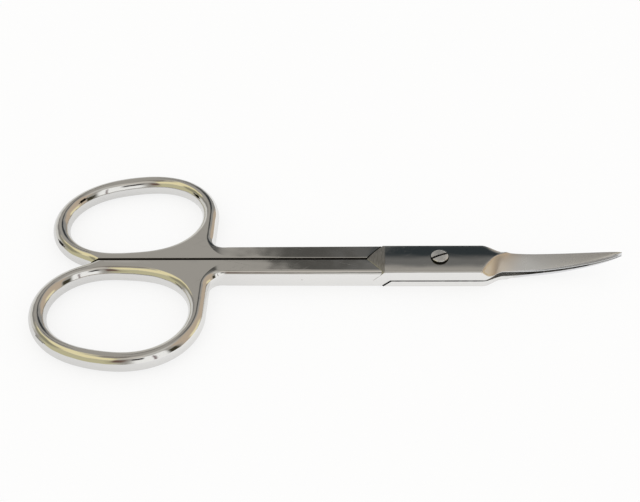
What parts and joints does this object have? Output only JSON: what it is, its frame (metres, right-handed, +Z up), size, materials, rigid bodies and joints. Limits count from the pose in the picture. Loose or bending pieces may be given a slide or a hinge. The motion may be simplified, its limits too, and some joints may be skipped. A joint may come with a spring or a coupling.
{
  "type": "nail scissors",
  "caption": "Curved nail scissors in polished steel: oval finger rings, flat shanks, lap joint on a slotted pivot screw and slim blades that sweep upwards.",
  "frame": {"origin": "centre of the outline seen from above, at the height of the surface that the scissors lie on", "axes": "+X from the rings to the blade tips, +Y towards the ring of the lower half, +Z up, along the pivot screw from its peened end to its slotted head"},
  "size_m": [0.0896, 0.0414, 0.0044],
  "materials": {
    "polished_steel": "mirror-polished outside, fine-ground on the blades' inner faces and in the joint",
    "screw_steel": "fine-turned, slightly duller than the halves"
  },
  "bodies": {
    "lower": {"lower_half": "polished_steel", "pivot_screw": "screw_steel"},
    "upper": {"upper_half": "polished_steel"}
  },
  "joints": [
    {"name": "pivot", "type": "hinge", "parent": "lower", "child": "upper", "pos_m": [0.01724, 0, 0.0016], "axis": [0, 0, 1], "range_deg": [0, 135]}
  ]
}
